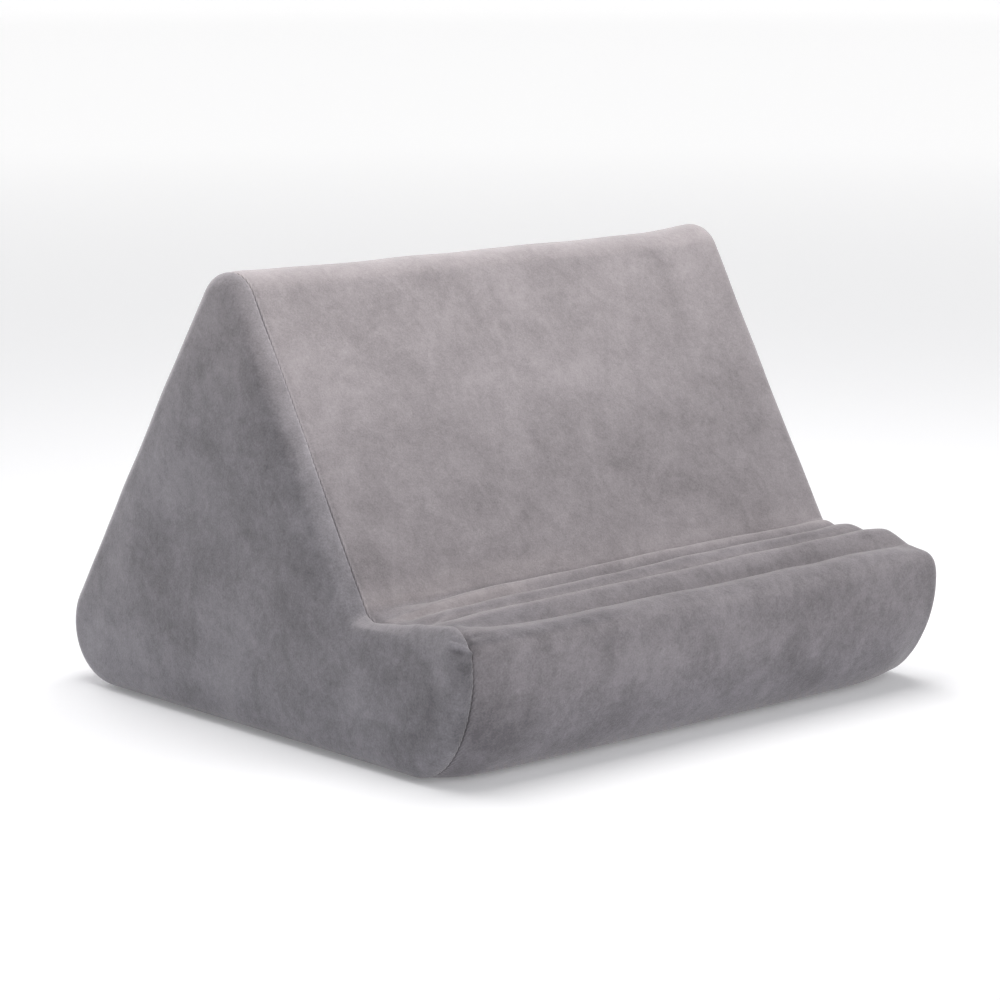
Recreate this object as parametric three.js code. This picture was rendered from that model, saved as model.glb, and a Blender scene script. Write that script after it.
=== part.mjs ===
// A tablet pillow stand: a firm, foam-filled wedge in grey short-pile velvet.
// A long front slope carries the tablet's back, and a ledge with three small sewn
// rolls and one big nose roll holds its lower edge. The cloth is three panels: one
// wrap panel all the way round, and one end panel on each side, which rolls over
// the edge to a plain seam.
//
// Millimetres, +Z up. X runs along the ridge, the front is -Y and the back is +Y.
// The origin is under the middle of the pillow, on the surface it stands on.

import * as THREE from 'three';

// ---------------------------------------------------------------- driving dimensions
const LENGTH = 280; // from end edge to end edge, along X
const END_CROWN = 4; // how far the middle of an end panel stands out past its edge
const END_ROUND = 7.8; // radius with which an end panel rolls over the edge to its seam
const CLOTH = 2.0; // thickness of an end panel with its backing
const GAP = 0.36; // between an end panel's cut edge and the filled body
const UNDER_GAP = 0.46; // between the back of an end panel and the filled body
const SEAM_SINK = 0.7; // how deep the stitching draws the seam in
const SLOPE_FRONT = 59.75; // degrees up from the base
const SLOPE_BACK = 56.3;
const BASE_BACK_Y = 154.6; // where the back slope's plane meets the base
const SLOPE_Y = -62.9; // a point on the front slope's plane
const SLOPE_Z = 63.5;
const BACK_R = 26; // round along the lower back edge

// Where the seam between the wrap and an end panel sits, as degrees round the edge from
// the long sides. The left seam is pulled on to the slope and the nose, the right one
// sits well round the edge, out of sight from the front.
const SEAM_TURN = { '-1': 0, 1: 48.5 };

// The section of the pillow at places along X. ridgeR is the round of the ridge. topY and
// topZ are the crest of the nose roll, frontY and frontZ its foremost point, and baseY is
// where it meets the flat base. It is an oval between these points; upper and lower say
// how square the oval is above and below the foremost point: 1 is plain, less is squarer.
const ALONG = [-132.2, -126, -119, -112, -104, -84, -36, 0, 40, 92, 106, 120, 127, 132.2];
const SECTIONS = {
  ridgeR: [16.0, 16.2, 16.4, 16.6, 16.8, 17.0, 17.2, 17.2, 17.2, 17.0, 16.6, 15.6, 15.0, 14.6],
  topY: [-118.6, -118.6, -118.6, -118.6, -118.6, -118.6, -118.6, -118.6, -118.6, -118.6, -118.4, -117.7, -117.2, -116.8],
  topZ: [62.2, 61.9, 61.1, 60.4, 60.1, 60.0, 60.4, 60.7, 60.9, 61.9, 61.8, 61.2, 60.7, 60.3],
  frontY: [-128.8, -129.6, -130.5, -131.2, -131.5, -131.6, -131.6, -131.6, -131.6, -131.6, -131.5, -131.1, -130.6, -130.1],
  frontZ: [46.0, 45.8, 45.5, 45.2, 45.1, 45.0, 45.0, 45.0, 45.0, 45.0, 45.1, 45.6, 45.9, 46.0],
  baseY: [-96.5, -101.5, -104.7, -105.4, -105.4, -105.4, -105.4, -105.4, -105.4, -105.4, -105.0, -102.7, -100.6, -98.5],
  upper: [0.90, 0.86, 0.82, 0.79, 0.78, 0.78, 0.78, 0.78, 0.78, 0.78, 0.78, 0.77, 0.76, 0.75],
  lower: [1.10, 1.06, 1.02, 0.99, 0.97, 0.96, 0.96, 0.96, 0.96, 0.96, 0.98, 1.04, 1.07, 1.10],
};

// The ledge, from the slope outwards: sewn channels and the crests of the rolls between
// them, with their heights at the same places along X. The rolls flatten out over the
// last stretch before the puckered left seam, and keep their height to the right one.
// y holds along the ledge, and turns into yRight where the rolls swing towards the slope
// at the right end. The first channel's y follows the slope's plane.
const LEDGE = [
  { name: 'channel at the slope', y: -65.6,  yRight: -64.0,
    z: [60.4, 60.6, 61.0, 61.0, 60.6, 60.5, 60.8, 61.0, 61.0, 61.2, 61.8, 62.4, 63.0, 63.5] },
  { name: 'crest of roll 1',      y: -70.6,  yRight: -66.6,
    z: [58.4, 58.6, 59.3, 60.5, 61.8, 63.3, 64.3, 65.1, 65.1, 65.2, 65.0, 64.8, 64.4, 64.0] },
  { name: 'channel 1-2',          y: -76.0,  yRight: -71.2,
    z: [58.0, 58.2, 58.2, 58.0, 58.2, 58.4, 58.6, 59.0, 59.4, 59.8, 60.0, 60.2, 60.7, 61.2] },
  { name: 'crest of roll 2',      y: -84.2,  yRight: -81.8,
    z: [58.9, 58.9, 59.4, 61.2, 61.9, 62.3, 62.9, 64.4, 65.0, 65.1, 65.2, 65.3, 65.0, 64.3] },
  { name: 'channel 2-3',          y: -92.2,  yRight: -88.8,
    z: [59.6, 59.5, 59.2, 58.8, 58.6, 57.9, 58.0, 58.6, 59.0, 59.8, 60.6, 61.4, 62.2, 62.8] },
  { name: 'crest of roll 3',      y: -102.4, yRight: -101.6,
    z: [60.7, 60.8, 61.3, 62.6, 63.1, 63.5, 64.0, 64.7, 65.8, 66.2, 66.3, 66.4, 66.0, 65.3] },
  { name: 'channel at the nose',  y: -111.2, yRight: -113.2,
    z: [61.7, 61.6, 60.8, 59.3, 58.0, 57.2, 57.2, 57.2, 57.4, 58.0, 58.6, 59.2, 60.0, 60.4] },
];
const SWING = { from: 98, over: 36 };

// The left panel's edge stands up beside its seam, most at the pinched corner of the
// nose: places (y, z) along the end's outline, and how high.
const PINCH = [
  [-71, 58, 0], [-80, 57.5, 0.5], [-92, 59, 0.9], [-102, 60.5, 1.2], [-112, 61.3, 1.4],
  [-118, 62, 1.5], [-121, 61.5, 1.4], [-124, 59, 1.0], [-127, 54, 0.4], [-128.6, 48, 0],
];

// Subdivisions of the section, piece by piece, and of the length.
const STEPS = { base: 2, back: 6, backSlope: 2, ridge: 8, slope: 3, quarter: 3, upper: 6, lower: 9 };
const ROUND_STEPS = { '-1': 4, 1: 3 }; // rings from a panel's seam over the edge
const PANEL_SHARES = [0.3, 0.6, 0.84]; // rings on the flat of an end panel, as shares of its size
const CROWN_REACH = 48; // how far from its edge an end panel has risen to its full crown
const STATIONS = [-130, -126.6, -122.6, -118, -112, -105, -96, -84, -60, -36, 0, 40, 92, 106, 115, 123, 128];

// ---------------------------------------------------------------- small helpers
const rad = THREE.MathUtils.degToRad;
const mix = (a, b, t) => a + (b - a) * t;
const clamp01 = (t) => Math.min(1, Math.max(0, t));
const smooth = (t) => { const c = clamp01(t); return c * c * (3 - 2 * c); };
const crowned = (t) => 1 - (1 - clamp01(t)) ** 2;
const V2 = (y, z) => new THREE.Vector2(y, z);

// The value at x of a line through the knots.
function lineAt(xs, values, x) {
  const i = Math.min(xs.length - 2, Math.max(0, xs.findIndex((v) => v > x) - 1));
  if (x >= xs[xs.length - 1]) return values[values.length - 1];
  return mix(values[i], values[i + 1], clamp01((x - xs[i]) / (xs[i + 1] - xs[i])));
}

// A round of radius r at corner b, between the sides towards a and c: steps + 1 points.
function fillet(a, b, c, r, steps) {
  const u = a.clone().sub(b).normalize();
  const v = c.clone().sub(b).normalize();
  const half = Math.acos(THREE.MathUtils.clamp(u.dot(v), -1, 1)) / 2;
  const centre = b.clone().add(u.clone().add(v).normalize().multiplyScalar(r / Math.sin(half)));
  const start = b.clone().addScaledVector(u, r / Math.tan(half)).sub(centre);
  const stop = b.clone().addScaledVector(v, r / Math.tan(half)).sub(centre);
  let turn = stop.angle() - start.angle();
  if (turn > Math.PI) turn -= 2 * Math.PI;
  if (turn < -Math.PI) turn += 2 * Math.PI;
  return Array.from({ length: steps + 1 }, (_, i) =>
    start.clone().rotateAround(V2(0, 0), (turn * i) / steps).add(centre));
}

// Points strictly between a and b.
const between = (a, b, steps) =>
  Array.from({ length: steps - 1 }, (_, i) => a.clone().lerp(b, (i + 1) / steps));

// How far p is from the nearest side of a closed section.
const distance = (p, points) => Math.min(...points.map((a, i) => {
  const side = points[(i + 1) % points.length].clone().sub(a);
  const t = clamp01(p.clone().sub(a).dot(side) / side.lengthSq());
  return p.distanceTo(a.clone().addScaledVector(side, t));
}));

// ---------------------------------------------------------------- the section
const downFront = V2(-Math.cos(rad(SLOPE_FRONT)), -Math.sin(rad(SLOPE_FRONT)));
const downBack = V2(Math.cos(rad(SLOPE_BACK)), -Math.sin(rad(SLOPE_BACK)));
const APEX = (() => { // where the two slope planes meet
  const d = V2(BASE_BACK_Y, 0).sub(V2(SLOPE_Y, SLOPE_Z));
  const det = downBack.x * downFront.y - downFront.x * downBack.y;
  const t = (downBack.x * d.y - d.x * downBack.y) / det;
  return V2(SLOPE_Y, SLOPE_Z).addScaledVector(downFront, t);
})();

// One closed loop of points (y, z), from the front of the flat base back under the
// pillow, up the back slope, over the ridge, down the front slope, over the ledge and
// round the nose. `shape` holds the numbers of SECTIONS, and `marks` the points of LEDGE.
function section(shape, marks) {
  const baseBack = V2(BASE_BACK_Y, 0);
  const back = fillet(V2(0, 0), baseBack, APEX, BACK_R, STEPS.back);
  const ridge = fillet(baseBack, APEX, V2(SLOPE_Y, SLOPE_Z), shape.ridgeR, STEPS.ridge);
  marks[0].x = APEX.x + (downFront.x / downFront.y) * (marks[0].y - APEX.y);

  // each side of a roll rises from its channel to its crest like a quarter of a wave
  const rise = (from, to, t) => V2(mix(from.x, to.x, t), mix(from.y, to.y, Math.sin((Math.PI / 2) * t)));
  const steps = Array.from({ length: STEPS.quarter }, (_, i) => (i + 1) / STEPS.quarter);
  const rolls = [marks[0]];
  for (let k = 0; k + 2 < marks.length; k += 2) {
    const [from, crest, to] = marks.slice(k, k + 3);
    rolls.push(...steps.map((t) => rise(from, crest, t)));
    rolls.push(...steps.map((t) => rise(to, crest, 1 - t)));
  }

  // the nose: up from the last channel to its crest, and oval round its front to the base
  const top = V2(shape.topY, shape.topZ);
  const front = V2(shape.frontY, shape.frontZ);
  const under = V2(shape.baseY, 0);
  const oval = (from, to, turn, square) => V2( // level at `from` end or `to` end, upright at the front
    mix(from.x, to.x, Math.sin(turn) ** square), mix(to.y, from.y, Math.cos(turn) ** square));
  const turns = (n) => Array.from({ length: n }, (_, i) => (Math.PI / 2) * (i / n));
  const nose = [
    ...steps.map((t) => rise(marks[marks.length - 1], top, t)),
    ...turns(STEPS.upper).slice(1).map((turn) => oval(top, front, turn, shape.upper)),
    front,
    ...turns(STEPS.lower).slice(1).reverse().map((turn) => oval(under, front, turn, shape.lower)),
  ];

  return [
    under, ...between(under, back[0], STEPS.base),
    ...back, ...between(back[STEPS.back], ridge[0], STEPS.backSlope),
    ...ridge, ...between(ridge[STEPS.ridge], marks[0], STEPS.slope),
    ...rolls, ...nose,
  ];
}

const EDGE = LENGTH / 2;
const SEAM_X = EDGE - END_ROUND;

// The section at x, between the rounds of the ends.
function sectionAt(x) {
  const shape = {};
  for (const key of Object.keys(SECTIONS)) shape[key] = lineAt(ALONG, SECTIONS[key], x);
  const swing = smooth((x - SWING.from) / SWING.over);
  return section(shape, LEDGE.map((row) => V2(mix(row.y, row.yRight, swing), lineAt(ALONG, row.z, x))));
}
const END_SECTION = { '-1': sectionAt(-SEAM_X), 1: sectionAt(SEAM_X) };

// Move a closed section inwards by `depth`, one for all points or one for each, square to
// each of its sides.
function inset(points, depth) {
  const n = points.length;
  const outward = (a, b) => { const d = b.clone().sub(a).normalize(); return V2(d.y, -d.x); };
  return points.map((p, i) => {
    const n1 = outward(points[(i + n - 1) % n], p);
    const n2 = outward(p, points[(i + 1) % n]);
    const both = n1.clone().add(n2).divideScalar(Math.max(0.4, 1 + n1.dot(n2)));
    return p.clone().addScaledVector(both, -(Array.isArray(depth) ? depth[i] : depth));
  });
}

// ---------------------------------------------------------------- rings across the length
const CORE = V2(4, 22); // the middle of an end: every point of its outline can be seen from here

// Where the rolls show at the end's outline, the panel is cut to the line under them:
// each point of the ledge is pulled towards that line by `share`.
function eased(points, share) {
  const start = STEPS.base + STEPS.back + STEPS.backSlope + STEPS.ridge + STEPS.slope;
  const stop = start + 7 * STEPS.quarter; // the nose's crest
  const a = points[start];
  const b = points[stop];
  return points.map((p, i) => {
    if (i <= start || i >= stop) return p;
    const t = (p.x - a.x) / (b.x - a.x);
    return V2(p.x, mix(p.y, mix(a.y, b.y, t), share));
  });
}

// PINCH spread along the left end's outline, one height for each point.
const LIFT = (() => {
  const outline = END_SECTION[-1];
  const arc = [0];
  outline.slice(1).forEach((p, i) => arc.push(arc[i] + p.distanceTo(outline[i])));
  const nearest = (p) => outline.reduce((best, q, i) => (q.distanceTo(p) < outline[best].distanceTo(p) ? i : best), 0);
  const knots = PINCH.map(([y, z, high]) => [arc[nearest(V2(y, z))], high]).sort((p, q) => p[0] - q[0]);
  const places = [-1e3, ...knots.map((k) => k[0]), 1e4];
  const heights = [0, ...knots.map((k) => k[1]), 0];
  return arc.map((s) => lineAt(places, heights, s));
})();

// One ring at `turn` round the edge of an end, `inside` mm under the cloth's face and
// moved `shift` mm on round the edge.
function rimRing(side, turn, inside, shift = 0) {
  const rim = END_ROUND - inside;
  const depth = END_ROUND - rim * Math.cos(turn) + shift * Math.sin(turn);
  const stands = side < 0 ? smooth(turn / rad(38)) * (1 - smooth((turn - rad(45)) / rad(35))) : 0;
  return {
    x: side * (SEAM_X + rim * Math.sin(turn) + shift * Math.cos(turn)),
    pts: inset(eased(END_SECTION[side], Math.sin(turn)), LIFT.map((high) => depth - high * stands)),
  };
}

// Rings of an end, from its middle out to just before the seam, `inside` mm under the
// cloth's face.
function endRings(side, inside) {
  const flatRing = inset(eased(END_SECTION[side], 1), END_ROUND);
  const rings = PANEL_SHARES.map((share) => {
    const pts = flatRing.map((p) => CORE.clone().lerp(p, share));
    return { x: pts.map((p) => side * (EDGE - inside + END_CROWN * crowned(distance(p, flatRing) / CROWN_REACH))), pts };
  });
  const seam = rad(SEAM_TURN[side]);
  const steps = ROUND_STEPS[side];
  for (let k = steps; k > 0; k--) rings.push(rimRing(side, mix(seam, Math.PI / 2, k / steps), inside));
  return rings;
}

// A closed skin over a list of rings, with a middle point at each end.
function skin(rings, firstX, lastX) {
  const count = rings[0].pts.length;
  const position = [];
  const index = [];
  for (const ring of rings) ring.pts.forEach((p, i) => position.push(Array.isArray(ring.x) ? ring.x[i] : ring.x, p.x, p.y));
  const at = (k) => new THREE.Vector3().fromArray(position, 3 * k);
  for (let r = 0; r + 1 < rings.length; r++) {
    for (let i = 0; i < count; i++) { // each four-sided cell is cut along its shorter diagonal
      const a = r * count + i, b = r * count + ((i + 1) % count), c = a + count, d = b + count;
      if (at(a).distanceTo(at(d)) <= at(b).distanceTo(at(c))) index.push(a, b, d, a, d, c);
      else index.push(a, b, c, b, d, c);
    }
  }
  const first = position.length / 3;
  position.push(firstX, CORE.x, CORE.y, lastX, CORE.x, CORE.y);
  for (let i = 0; i < count; i++) {
    const j = (i + 1) % count;
    index.push(first, j, i, first + 1, (rings.length - 1) * count + i, (rings.length - 1) * count + j);
  }
  // faces point out: turn them round if the enclosed volume came out negative
  let volume = 0;
  for (let k = 0; k < index.length; k += 3) volume += at(index[k]).dot(at(index[k + 1]).cross(at(index[k + 2])));
  if (volume < 0) for (let k = 0; k < index.length; k += 3) [index[k + 1], index[k + 2]] = [index[k + 2], index[k + 1]];
  const geometry = new THREE.BufferGeometry();
  geometry.setAttribute('position', new THREE.Float32BufferAttribute(position, 3));
  geometry.setIndex(index);
  geometry.computeVertexNormals();
  return geometry;
}

// ---------------------------------------------------------------- the three pieces
function filledBody() {
  const inside = CLOTH + UNDER_GAP;
  const lip = (side) => [ // the step at the seam, up from under the panel to the cloth's face
    rimRing(side, rad(SEAM_TURN[side]), inside + GAP, -GAP / 2), // a little deeper here, clear of the panel's cut edge
    rimRing(side, rad(SEAM_TURN[side]), SEAM_SINK, -GAP / 2),
  ];
  const wrap = STATIONS.map((x) => ({ x, pts: sectionAt(x) }));
  const overEdge = [0, 1 / 3, 2 / 3].map((t) => rimRing(1, t * rad(SEAM_TURN[1]), 0)); // the wrap runs on round the right edge
  const rings = [
    ...endRings(-1, inside), ...lip(-1), ...wrap, ...overEdge,
    ...lip(1).reverse(), ...endRings(1, inside).reverse(),
  ];
  const tip = EDGE - inside + END_CROWN;
  return skin(rings, -tip, tip);
}

function endPanel(side) {
  const seam = rad(SEAM_TURN[side]);
  const outer = [...endRings(side, 0), rimRing(side, seam, SEAM_SINK, GAP / 2)];
  const inner = [...endRings(side, CLOTH), rimRing(side, seam, CLOTH, GAP / 2)]; // the cut edge is square
  return skin([...outer, ...inner.reverse()], side * (EDGE + END_CROWN), side * (EDGE + END_CROWN - CLOTH));
}

const velvet = (hex) => new THREE.MeshStandardMaterial({ color: hex, roughness: 0.95, metalness: 0 });

const pillow = new THREE.Group();
function add(name, geometry, material) {
  const mesh = new THREE.Mesh(geometry, material);
  mesh.name = name;
  pillow.add(mesh);
}
add('filled_body', filledBody(), velvet(0x9a9294));
add('end_panel_left', endPanel(-1), velvet(0x77747b));
add('end_panel_right', endPanel(1), velvet(0x77747b));

export default pillow;
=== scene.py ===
"""Looks of a tablet pillow stand: a foam-filled velvet wedge with a rolled ledge, in three cloth panels.

Lengths in the tables are millimetres, in the frame of the CAD: X along the ridge, the front is -Y, +Z up.
"""

import math

import bpy
import numpy as np
from mathutils import Matrix, Vector, noise
from mathutils.geometry import delaunay_2d_cdt


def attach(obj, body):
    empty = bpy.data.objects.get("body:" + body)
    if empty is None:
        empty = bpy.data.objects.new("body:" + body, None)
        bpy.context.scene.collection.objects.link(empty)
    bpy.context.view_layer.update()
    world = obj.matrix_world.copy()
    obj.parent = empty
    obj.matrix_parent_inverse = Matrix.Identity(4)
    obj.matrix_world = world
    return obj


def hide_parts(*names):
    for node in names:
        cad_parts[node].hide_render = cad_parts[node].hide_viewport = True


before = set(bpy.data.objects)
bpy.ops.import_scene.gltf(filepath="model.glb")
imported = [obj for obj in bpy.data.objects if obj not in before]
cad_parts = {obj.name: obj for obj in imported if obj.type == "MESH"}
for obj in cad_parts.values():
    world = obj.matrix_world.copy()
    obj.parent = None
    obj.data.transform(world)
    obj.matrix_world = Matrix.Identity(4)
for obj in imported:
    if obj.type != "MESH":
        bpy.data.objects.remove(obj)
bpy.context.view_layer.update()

MM = 0.001

# ------------------------------------------------------------------ sizes
LENGTH = 280.0  # end edge to end edge
END_CROWN = 3.6
END_ROUND = 7.8
CLOTH = 2.0
SEAM_GAP = 0.09  # half the slit at the bottom of a seam
LIP_R = 0.75  # round of the turned-in cloth at a seam
COVERED = 2.5  # how deep the filled body lies under an end panel
EDGE = LENGTH / 2
ROUND_X = EDGE - END_ROUND  # where the round of an end starts
SEAM_U = {-1: 0.0, 1: 6.6}  # how far round the edge each seam sits: the right one is just out of sight
SLOPE_FRONT = math.radians(59.75)
SLOPE_BACK = math.radians(56.3)
BASE_BACK_Y = 154.6
SLOPE_P = np.array([-62.9, 63.5])
BACK_R = 26.0

# The section at knots along X. ridge: round of the ridge. top, front, under: crest, foremost point and
# foot of the nose roll. upper, lower: how square the nose is above and below its foremost point.
KNOTS = dict(
    x=[-132.2, -126.0, -120.0, -112.0, -100.0, -84.0, -40.0, 40.0, 92.0, 106.0, 116.0, 125.0, 132.2],
    ridge=[16.0, 16.2, 16.4, 16.6, 16.9, 17.0, 17.2, 17.2, 17.0, 16.6, 15.9, 15.2, 14.6],
    top_y=[-118.6, -118.6, -118.6, -118.6, -118.6, -118.6, -118.6, -118.6, -118.6, -118.4, -118.0, -117.4, -116.8],
    top_z=[62.2, 61.9, 61.2, 60.4, 60.0, 60.0, 60.4, 60.9, 61.9, 61.8, 61.4, 60.9, 60.3],
    front_y=[-128.8, -129.6, -130.4, -131.2, -131.6, -131.6, -131.6, -131.6, -131.6, -131.5, -131.3, -130.8, -130.1],
    front_z=[46.0, 45.8, 45.5, 45.2, 45.0, 45.0, 45.0, 45.0, 45.0, 45.1, 45.4, 45.8, 46.0],
    under_y=[-96.5, -101.5, -104.5, -105.4, -105.4, -105.4, -105.4, -105.4, -105.4, -105.0, -103.6, -101.4, -98.5],
    upper=[0.90, 0.86, 0.82, 0.79, 0.78, 0.78, 0.78, 0.78, 0.78, 0.78, 0.77, 0.76, 0.75],
    lower=[1.10, 1.06, 1.02, 0.99, 0.97, 0.96, 0.96, 0.96, 0.96, 0.98, 1.02, 1.06, 1.10],
    # how round the crests of the rolls are (0 is a sharp fold), and how much their sides bulge
    crest=[0.60, 0.60, 0.50, 0.36, 0.30, 0.28, 0.28, 0.28, 0.28, 0.34, 0.50, 0.75, 0.90],
    bulge=[0.50, 0.50, 0.45, 0.35, 0.30, 0.28, 0.28, 0.28, 0.30, 0.40, 0.60, 0.75, 0.80],
)

# The ledge from the slope outwards: channels and roll crests. y along the ledge and at its right end, z at knots along X.
LEDGE_X = [-132.2, -126.0, -119.0, -112.0, -104.0, -96.0, -84.0, -60.0, -36.0, -24.0, -12.0, 0.0, 20.0, 40.0, 70.0, 92.0, 120.0, 127.0, 132.2]
LEDGE = [
    dict(name="channel at the slope", y=(-65.6, -64.0), z=[60.4, 60.6, 61.0, 61.0, 60.6, 60.3, 60.5, 60.6, 60.8, 60.8, 61.0, 61.0, 61.0, 61.0, 61.0, 61.2, 62.4, 63.0, 63.5]),
    dict(name="crest of roll 1", y=(-70.6, -66.6), z=[58.4, 58.6, 59.3, 60.5, 61.8, 62.4, 63.3, 63.7, 64.3, 64.3, 64.8, 65.1, 65.0, 65.1, 65.6, 65.2, 64.8, 64.4, 64.0]),
    dict(name="channel 1-2", y=(-76.0, -71.2), z=[58.0, 58.2, 58.2, 58.0, 58.2, 58.2, 58.4, 58.4, 58.6, 58.8, 58.8, 59.0, 59.2, 59.4, 59.6, 59.8, 60.2, 60.7, 61.2]),
    dict(name="crest of roll 2", y=(-84.2, -81.8), z=[58.9, 58.9, 59.4, 61.2, 61.9, 62.0, 62.3, 62.4, 62.9, 63.4, 63.9, 64.4, 64.9, 65.0, 65.3, 65.1, 65.3, 65.0, 64.3]),
    dict(name="channel 2-3", y=(-92.2, -88.8), z=[59.6, 59.5, 59.2, 58.8, 58.6, 58.2, 57.9, 57.9, 58.0, 58.2, 58.4, 58.6, 58.8, 59.0, 59.4, 59.8, 61.4, 62.2, 62.8]),
    dict(name="crest of roll 3", y=(-102.4, -101.6), z=[60.7, 60.8, 61.3, 62.6, 63.1, 63.4, 63.5, 63.8, 64.0, 64.1, 64.4, 64.7, 65.2, 65.8, 66.0, 66.2, 66.4, 66.0, 65.3]),
    dict(name="channel at the nose", y=(-111.2, -113.2), z=[61.7, 61.6, 60.8, 59.3, 58.0, 57.4, 57.2, 57.2, 57.2, 57.2, 57.2, 57.2, 57.3, 57.4, 57.8, 58.0, 59.2, 60.0, 60.4]),
]

STEPS = dict(base=30, back=18, back_slope=52, ridge=30, slope=64, quarter=11, rise=12, upper=42, lower=40)


# ------------------------------------------------------------------ small helpers
def smooth(t):
    t = np.clip(t, 0.0, 1.0)
    return t * t * (3 - 2 * t)


def eased_knots(xs, zs):
    """A soft curve through the knots: linear, then blurred a little along X."""
    grid = np.arange(-145.0, 145.01, 0.5)
    v = np.interp(grid, xs, zs)
    k = np.exp(-0.5 * (np.arange(-12, 13) * 0.5 / 2.4) ** 2)
    pad = np.pad(v, 12, mode="edge")
    return grid, np.convolve(pad, k / k.sum(), mode="valid")


TABLE = {key: eased_knots(KNOTS["x"], KNOTS[key]) for key in KNOTS if key != "x"}
LEDGE_CURVES = [eased_knots(LEDGE_X, row["z"]) for row in LEDGE]


def at(curve, x):
    return float(np.interp(x, *curve))


def fillet(a, b, c, r, steps):
    u, v = (a - b) / np.linalg.norm(a - b), (c - b) / np.linalg.norm(c - b)
    half = math.acos(float(np.clip(u @ v, -1, 1))) / 2
    w = (u + v) / np.linalg.norm(u + v)
    centre = b + w * (r / math.sin(half))
    p, q = b + u * (r / math.tan(half)) - centre, b + v * (r / math.tan(half)) - centre
    turn = math.atan2(p[0] * q[1] - p[1] * q[0], p @ q)
    t = np.linspace(0, turn, steps + 1)
    return centre + np.stack([p[0] * np.cos(t) - p[1] * np.sin(t), p[0] * np.sin(t) + p[1] * np.cos(t)], 1)


def between(a, b, steps, bias=1.0):
    t = (np.arange(1, steps) / steps) ** bias
    return a + (b - a) * t[:, None]


DOWN_FRONT = np.array([-math.cos(SLOPE_FRONT), -math.sin(SLOPE_FRONT)])
DOWN_BACK = np.array([math.cos(SLOPE_BACK), -math.sin(SLOPE_BACK)])
APEX = SLOPE_P + DOWN_FRONT * np.linalg.solve(np.stack([DOWN_FRONT, -DOWN_BACK], 1), np.array([BASE_BACK_Y, 0.0]) - SLOPE_P)[0]


def rise(a, b, n, crest, bulge):
    """n points from channel a (left out) up to crest b: a nearly straight side and a tight round crest."""
    t = 1 - (1 - np.arange(1, n + 1) / n) ** 1.5
    straight = 1 - (np.sqrt((1 - t) ** 2 + crest**2) - crest) / (math.sqrt(1 + crest**2) - crest)
    return np.stack([a[0] + (b[0] - a[0]) * t, a[1] + (b[1] - a[1]) * ((1 - bulge) * straight + bulge * np.sin(t * math.pi / 2))], 1)


def section(x):
    """The outline (y, z) at x: base, back, ridge, slope, ledge, nose. Also where its stretches start."""
    x = float(np.clip(x, -ROUND_X, ROUND_X))
    g = {key: at(TABLE[key], x) for key in TABLE}
    top, front, under = np.array([g["top_y"], g["top_z"]]), np.array([g["front_y"], g["front_z"]]), np.array([g["under_y"], 0.0])
    base_back = np.array([BASE_BACK_Y, 0.0])
    back = fillet(np.zeros(2), base_back, APEX, BACK_R, STEPS["back"])
    ridge = fillet(base_back, APEX, SLOPE_P, g["ridge"], STEPS["ridge"])
    bend = float(smooth((x - 98.0) / 36.0))  # the rolls swing towards the slope at the right end
    marks = [np.array([row["y"][0] + (row["y"][1] - row["y"][0]) * bend, at(curve, x)]) for row, curve in zip(LEDGE, LEDGE_CURVES)]
    marks[0][0] = APEX[0] + DOWN_FRONT[0] / DOWN_FRONT[1] * (marks[0][1] - APEX[1])
    q = STEPS["quarter"]
    rolls = [marks[0][None]]
    for k in range(0, 6, 2):
        rolls.append(rise(marks[k], marks[k + 1], q, g["crest"], g["bulge"]))
        down = rise(marks[k + 2], marks[k + 1], q, g["crest"], g["bulge"])[::-1][1:]
        rolls += [down, marks[k + 2][None]]
    nose_up = rise(marks[6], top, STEPS["rise"], 0.4, 0.5)
    a = np.linspace(0, math.pi / 2, STEPS["upper"] + 1)[1:]
    upper = np.stack([top[0] + (front[0] - top[0]) * np.sin(a) ** g["upper"], front[1] + (top[1] - front[1]) * np.cos(a).clip(0) ** g["upper"]], 1)
    a = np.linspace(0, math.pi / 2, STEPS["lower"] + 1)[1:-1][::-1]
    lower = np.stack([under[0] + (front[0] - under[0]) * np.sin(a) ** g["lower"], front[1] - front[1] * np.cos(a) ** g["lower"]], 1)
    parts = [
        under[None], between(under, back[0], STEPS["base"]), back, between(back[-1], ridge[0], STEPS["back_slope"]),
        ridge, between(ridge[-1], marks[0], STEPS["slope"], 0.8), *rolls, nose_up, upper, lower,
    ]
    return np.concatenate(parts)


LEDGE_START = STEPS["base"] + STEPS["back"] + STEPS["back_slope"] + STEPS["ridge"] + STEPS["slope"]
LEDGE_STOP = LEDGE_START + 6 * STEPS["quarter"] + STEPS["rise"]


def flattened(pts, share):
    """The outline with its rolls pulled down to the straight line under them."""
    a, b = pts[LEDGE_START], pts[LEDGE_STOP]
    out = pts.copy()
    i = np.arange(LEDGE_START + 1, LEDGE_STOP)
    t = (pts[i, 0] - a[0]) / (b[0] - a[0])
    out[i, 1] += (a[1] + (b[1] - a[1]) * t - pts[i, 1]) * share
    return out


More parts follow.
